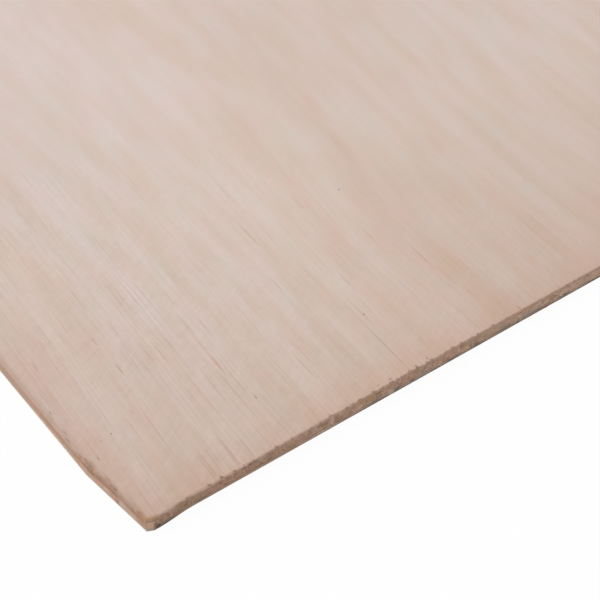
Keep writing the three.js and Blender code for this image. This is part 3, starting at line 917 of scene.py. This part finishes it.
corePly = buildCoreVeneer()
corePly.data.materials.append(coreWood())
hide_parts("core_veneer")
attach(corePly, "root")
print("core ply:", len(corePly.data.polygons), "faces")


# Lower ply: peeled hardwood. Its sawn edge is greyer than the core's, and grime with painted contact shade
# darkens the lower arris.
backFinish = dict(
    base="#C9B09E",
    flat=dict(
        patches=((3.0, 3.0, 1.0), 2, 0.34, 0.66, 0.0, 1.0),
        streaks=((1.1, 40, 0.5), 3, 0.3, 0.7, 0.0, 0.35),
        clouds=((60, 190, 60), 3, 0.35, 0.65, 0.0, 0.5),
    ),
    layers=(
        (None, "clouds", "#BFA08C"), (None, "streaks", "#A68672"), ("cut", None, "#A6866F"),
        ("cut", "patches", "#B39580"), ("sideCut", None, "#B59C89"), ("greyed", None, "#C0AA97"),
    ) + spotLayers + (("tip", None, "#AD9F90"), ("grimeAndShade", None, "#524945")),
    raised="streaks", bump=0.4, relief=0.2, roughness=0.8, ior=1.5,
)


backShape = dict(
    wallRows=10, insets=(3.0, 1.2, 0.4, 0.1),
    # how strongly grime and painted shade mark the lower arris, by place along the end, and how high they
    # reach in mm; beside the broken tip they paint the shadow of an undercut
    grimeAndShade=(
        (3, 0.1), (6, 0.9), (12, 0.5), (16, 0.12), (60, 0.15), (78, 0.3), (80, 0.75), (84, 0.75),
        (92, 0.65), (94, 0.2), (96, 0.75), (106, 0.85), (109, 0.4), (113, 0.7), (122, 0.6), (124, 0.4),
        (127, 0.75), (133, 0.7), (136, 0.3), (140, 0.5), (148, 0.75), (152, 0.5), (160, 0.65), (163, 0.3),
        (167, 0.8), (171, 1),
    ),
    grimeAndShadeHeight=0.5,
)


# Lower ply. Wall depth = fine grit, plus a slightly worn lower arris.
def buildBackVeneer():
    s = backShape
    bottom, top = 0.0, sheet["coreBottom"]
    d, across, end = path["distance"], path["acrossFaceGrain"], path["end"]
    level = np.linspace(1, 0, s["wallRows"])[:, None]
    z = bottom + (top - bottom) * level
    grit = 0.04 * roughNoise(d / 1.2, z / 0.7, 51)
    wallDepth = grit * across + 0.03 * roughNoise(d / 3, z / 0.5, 52) + 0.02 * smoothStep(level, 0.12, 0)
    insets = np.array(s["insets"])[:, None]
    topDepth = rowsInward(wallDepth[:1], insets)
    underDepth = rowsInward(wallDepth[-1:], insets)[::-1]
    depth = np.concatenate([topDepth, wallDepth, underDepth])
    height = np.concatenate([topDepth * 0 + top, z + 0 * d, underDepth * 0 + bottom])
    # painted contact shade with some grime along the foot of the sawn end, eased right at the bottom as
    # painted bounce light from the floor
    line = s["grimeAndShadeHeight"] * (0.4 + 1.4 * roughNoise(d / 5, 0, 53))
    grimeAndShade = byPlace(end, s["grimeAndShade"]) * smoothStep(z, line + 0.3, line - 0.25)
    grimeAndShade = grimeAndShade * (0.5 + 0.5 * smoothStep(z, 0.05, 0.45))
    greyed = 0.45 * smoothStep(end, 35, 75) * across
    tip = 0.6 * smoothStep(path["fromTip"], 1.4 * coreShape["tipHalf"], 0.8 * coreShape["tipHalf"])
    wallValues = dict(
        cut=across + 0 * z, sideCut=1 - across + 0 * z, grimeAndShade=grimeAndShade * across, greyed=greyed + 0 * z,
        tip=tip + 0 * z, **spotValues(z + 0 * d),
    )
    values = {
        key: np.concatenate([topDepth * 0, value, underDepth * 0]) for key, value in wallValues.items()
    }
    return shellMesh("back_ply", depth, height, values)


backPly = buildBackVeneer()
backPly.data.materials.append(plainWood("greyish back veneer", backFinish))
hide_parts("back_veneer")
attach(backPly, "root")
print("back ply:", len(backPly.data.polygons), "faces")


# Torn fibres: fine splinters left by the saw, matt and dry, each between the wood's brown and a pale tone.
fibreFinish = dict(
    base="#A8826D",
    flat=dict(mottle=((0.8, 0.8, 0.5), 2, 0.35, 0.65, 0.0, 0.6)),
    layers=(("tone", None, "#D2B49C"), (None, "mottle", "#BE9984")),
    raised="mottle", bump=0.2, relief=0.05, roughness=0.9, ior=1.45,
)
# strands of each kind: how many, lengths and radii in mm
fibreShape = dict(
    rings=7, sides=5, seed=418, denseRun=200.0, margin=0.03,
    whiskers=dict(count=340, length=(0.15, 0.5), radius=(0.03, 0.05)),
    curls=dict(count=240, length=(1.0, 3.4), radius=(0.05, 0.1)),
    slivers=dict(count=50, length=(1.5, 5.0), radius=(0.04, 0.08)),
)


# Tubes round many centre lines at once: ring point = centre + radius * (cos u * normal + sin u * binormal).
def strandMesh(name, centres, radii, tones):
    count, rings = centres.shape[:2]
    sides = fibreShape["sides"]
    tangent = np.gradient(centres, axis=1)
    tangent /= np.linalg.norm(tangent, axis=2, keepdims=True) + 1e-9
    normal = np.cross(tangent, np.array([0.31, 0.47, 0.83]))
    normal /= np.linalg.norm(normal, axis=2, keepdims=True) + 1e-9
    binormal = np.cross(tangent, normal)
    u = np.linspace(0, 2 * math.pi, sides, endpoint=False)[:, None]
    around = np.cos(u) * normal[:, :, None] + np.sin(u) * binormal[:, :, None]
    points = centres[:, :, None] + radii[:, :, None, None] * around
    index = np.arange(count * rings * sides).reshape(count, rings, sides)
    nextSide = np.roll(index, -1, axis=2)
    quads = np.stack([index[:, :-1], nextSide[:, :-1], nextSide[:, 1:], index[:, 1:]], -1).reshape(-1, 4)
    caps = np.concatenate([index[:, 0, ::-1], index[:, -1]])
    values = dict(tone=np.repeat(tones, rings * sides))
    return newPiece(name, points.reshape(-1, 3), quads.tolist() + caps.tolist(), values)


# Centre line = root + length * (t * heading + t^2 * curl), held inside the sheet's own box.
def buildTornFibres():
    s = fibreShape
    draw = np.random.default_rng(s["seed"])
    t = np.linspace(0, 1, s["rings"])[None, :, None]
    centres, radii, tones = [], [], []

    # adds strands of one kind from arrays of roots, headings, curls and tones; short thin ones are commonest
    def addStrands(kind, root, heading, curl, tone):
        length, radius = [
            kind[size][0] + (kind[size][1] - kind[size][0]) * draw.random(kind["count"]) ** 1.6
            for size in ("length", "radius")
        ]
        centres.append(root[:, None] + length[:, None, None] * (t * heading[:, None] + t * t * curl[:, None]))
        radii.append(radius[:, None] * np.sqrt(np.clip(1.03 - t[..., 0] ** 2, 0.02, 1)))
        tones.append(tone)

    # whiskers of face grain stand out of the sawn end
    n = s["whiskers"]["count"]
    along = corner["strayIn"] + 3 + draw.random(n) * s["denseRun"]
    root = np.stack([sheet["left"] + along, sawnLine - flareAt(along) + 0.25, 4.4 + 0.75 * draw.random(n)], 1)
    heading = np.stack([draw.normal(0, 0.3, n), -np.ones(n), draw.normal(-0.15, 0.2, n)], 1)
    curl = np.stack([draw.normal(0, 0.4, n), draw.random(n) * 0.3, draw.normal(-0.4, 0.3, n)], 1)
    addStrands(s["whiskers"], root, heading, curl, 0.1 + 0.6 * draw.random(n))
    # curls of core grain lie along the end, a third of them in its pale tufts
    n = s["curls"]["count"]
    inTuft = draw.random(n) < 0.35
    tuft = np.array(endSpots["pale"])[draw.integers(0, len(endSpots["pale"]), n)]
    byTuft, anywhere = tuft[:, 0] + draw.normal(0, 0.8, n), draw.random(n) * s["denseRun"]
    along = np.clip(np.where(inTuft, byTuft, anywhere), 6, None)
    byTuft, anywhere = tuft[:, 1] + draw.normal(0, 0.6, n), 1.0 + 3.2 * draw.random(n)
    height = np.where(inTuft, np.clip(byTuft, 0.6, 4.4), anywhere)
    root = np.stack([sheet["left"] + along, sawnLine - flareAt(along) + 0.22, height], 1)
    turn = np.where(draw.random(n) < 0.5, -1.0, 1.0)
    heading = np.stack([turn, -0.22 * draw.random(n), draw.normal(0, 0.4, n)], 1)
    curl = np.stack([-0.6 * turn * draw.random(n), 0.2 * draw.random(n), draw.normal(0, 0.6, n)], 1)
    addStrands(s["curls"], root, heading, curl, np.where(inTuft, 0.6, 0.1) + 0.4 * draw.random(n))
    # slivers of face grain cling to the stray cut
    n = s["slivers"]["count"]
    up = -0.3 + 37 * draw.random(n) ** 1.2
    across = sideAt(up) + 0.12 + 0.9 * draw.random(n) ** 1.5
    root = np.stack([across, sawnLine + up, 4.4 + 0.6 * draw.random(n)], 1)
    heading = np.stack([draw.normal(0, 0.03, n), np.ones(n), draw.normal(0.01, 0.05, n)], 1)
    curl = np.stack([draw.normal(0, 0.05, n), np.zeros(n), draw.normal(0, 0.05, n)], 1)
    addStrands(s["slivers"], root, heading, curl, 0.2 + 0.5 * draw.random(n))

    centres, radii, tones = np.concatenate(centres), np.concatenate(radii), np.concatenate(tones)
    reach = s["margin"] + radii[..., None]
    low = np.array([sheet["left"], sheet["near"], 0.0]) + reach
    high = np.array([sheet["right"], sheet["far"], sheet["top"]]) - reach
    return strandMesh("torn_fibres", np.clip(centres, low, high), radii, tones)


tornFibres = buildTornFibres()
tornFibres.data.materials.append(plainWood("torn dry wood fibre", fibreFinish))
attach(tornFibres, "root")
print("torn fibres:", len(tornFibres.data.polygons), "faces")

studio = dict(
    floorSize=12.0, floorTone="#F2F2F2", floorGlow=0.95,
    skyStrength=0.62, sunStrength=1.55, sunAngle=50.0, sunFrom=(-0.60, 0.38, 0.70),
)


# A wide pale floor just under the sheet, nearly white to the camera, which still takes a soft shadow.
def buildFloor():
    half = studio["floorSize"] / 2
    corners = np.array([[-half, -half, 0], [half, -half, 0], [half, half, 0], [-half, half, 0]])
    floor = newPiece("floor", (corners + [0, 0, -0.0002]) / mm, [[0, 1, 2, 3]], {})
    material = bpy.data.materials.new("pale floor")
    tree = emptyTree(material)
    matte = addNode(tree, "BsdfDiffuse", {"Color": linearColour(studio["floorTone"])})
    white = addNode(tree, "Emission", {"Color": (1, 1, 1, 1), "Strength": 1.0})
    seen = addNode(tree, "Math", {
        0: addNode(tree, "LightPath", {}, "Is Camera Ray"), 1: studio["floorGlow"],
    }, operation="MULTIPLY")
    addNode(tree, "OutputMaterial", {"Surface": addNode(tree, "MixShader", {0: seen, 1: matte, 2: white})})
    floor.data.materials.append(material)


# An even pale sky that shows white to the camera, and one wide soft lamp from the left.
def buildLights():
    world = bpy.data.worlds.new("studio")
    bpy.context.scene.world = world
    tree = emptyTree(world)
    strength = addNode(tree, "MapRange", {
        "Value": addNode(tree, "LightPath", {}, "Is Camera Ray"),
        "To Min": studio["skyStrength"], "To Max": 1.0,
    })
    sky = addNode(tree, "Background", {"Color": (1, 1, 1, 1), "Strength": strength})
    addNode(tree, "OutputWorld", {"Surface": sky})
    lamp = bpy.data.lights.new("softbox", "SUN")
    lamp.energy = studio["sunStrength"]
    lamp.angle = math.radians(studio["sunAngle"])
    x, y, z = studio["sunFrom"]
    turn = (math.atan2(math.hypot(x, y), z), 0, math.atan2(x, -y))
    addObject("softbox", lamp).rotation_euler = turn
    bpy.context.scene.view_settings.view_transform = "Standard"


# the camera looks down on the sawn corner, aimed at a point of the face given in mm from that corner
view = dict(azimuth=-36.862, elevation=42.211, distance=461.6, aimAcross=94.23, aimAlong=48.18, lens=82.68)


# Camera place = aim + distance * (sin a cos e, -cos a cos e, sin e).
def buildCamera():
    a, e = math.radians(view["azimuth"]), math.radians(view["elevation"])
    back = np.array([math.sin(a) * math.cos(e), -math.cos(a) * math.cos(e), math.sin(e)])
    aim = np.array([sheet["left"] + view["aimAcross"], sawnLine + view["aimAlong"], sheet["top"]])
    data = bpy.data.cameras.new("camera")
    data.lens, data.sensor_width = view["lens"], 36.0
    data.clip_start = 0.01
    camera = addObject("camera", data)
    camera.location = (aim + back * view["distance"]) * mm
    camera.rotation_euler = (math.pi / 2 - e, 0, a)
    bpy.context.scene.camera = camera


buildFloor()
buildLights()
buildCamera()
print("floor, lights and camera placed")

bpy.context.view_layer.update()
